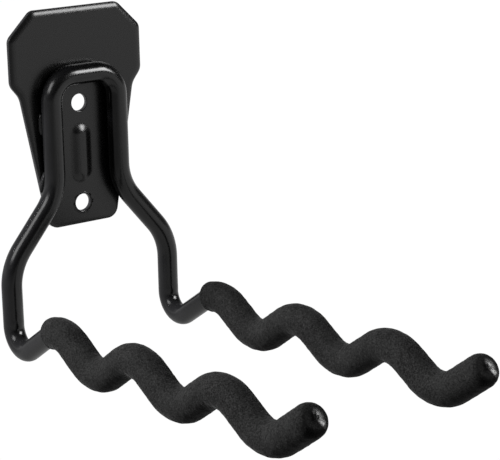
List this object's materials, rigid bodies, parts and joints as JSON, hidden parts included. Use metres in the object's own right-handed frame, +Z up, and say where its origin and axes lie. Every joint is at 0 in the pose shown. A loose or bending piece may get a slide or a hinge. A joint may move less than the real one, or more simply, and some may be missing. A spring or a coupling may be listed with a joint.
{
  "type": "wall guitar hanger",
  "caption": "Wall hanger: a pressed steel plate carries one bent rod whose two parallel, wavy, foam-covered arms hold guitars by the head in their valleys.",
  "frame": {"origin": "midway between the two screw holes, on the wall plane that the plate's rim rests on", "axes": "+Z up, -Y out from the wall along the arms, +X to the right as seen by someone facing the wall"},
  "size_m": [0.0892, 0.2075, 0.1397],
  "materials": {
    "plate_coat": "satin black powder coat",
    "rod_coat": "satin black powder coat",
    "weld_coat": "satin black powder coat over a rippled bead",
    "sleeve_foam": "matte, finely pebbled closed-cell foam skin"
  },
  "bodies": {
    "root": {"wall_plate": "plate_coat", "hanger_rod": "rod_coat", "left_foam_sleeve": "sleeve_foam", "right_foam_sleeve": "sleeve_foam", "upper_left_weld": "weld_coat", "upper_right_weld": "weld_coat", "lower_left_weld": "weld_coat", "lower_right_weld": "weld_coat"}
  },
  "joints": []
}
